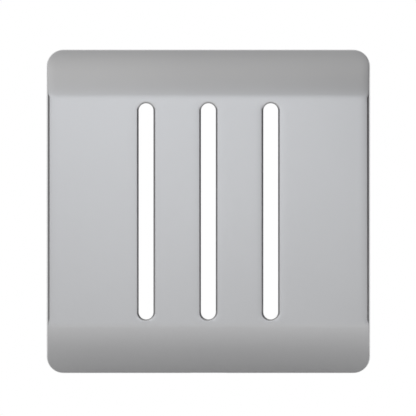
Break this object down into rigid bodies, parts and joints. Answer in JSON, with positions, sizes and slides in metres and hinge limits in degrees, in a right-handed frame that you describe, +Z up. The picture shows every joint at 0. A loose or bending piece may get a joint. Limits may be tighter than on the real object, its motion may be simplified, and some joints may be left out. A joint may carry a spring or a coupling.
{
  "type": "switch front plate",
  "caption": "Square clip-on front plate for a slim rocker light switch, with upright slots, a flat middle and top and bottom edges that curve back to the wall.",
  "frame": {"origin": "centre of the rear rim, in the plane of the wall", "axes": "+Z up as it hangs, +X to the right of a person who faces it, +Y into the wall, so the front looks towards -Y"},
  "size_m": [0.09, 0.0085, 0.09],
  "materials": {
    "front_plate": "satin"
  },
  "bodies": {
    "root": {"front_plate": "front_plate"}
  },
  "joints": []
}
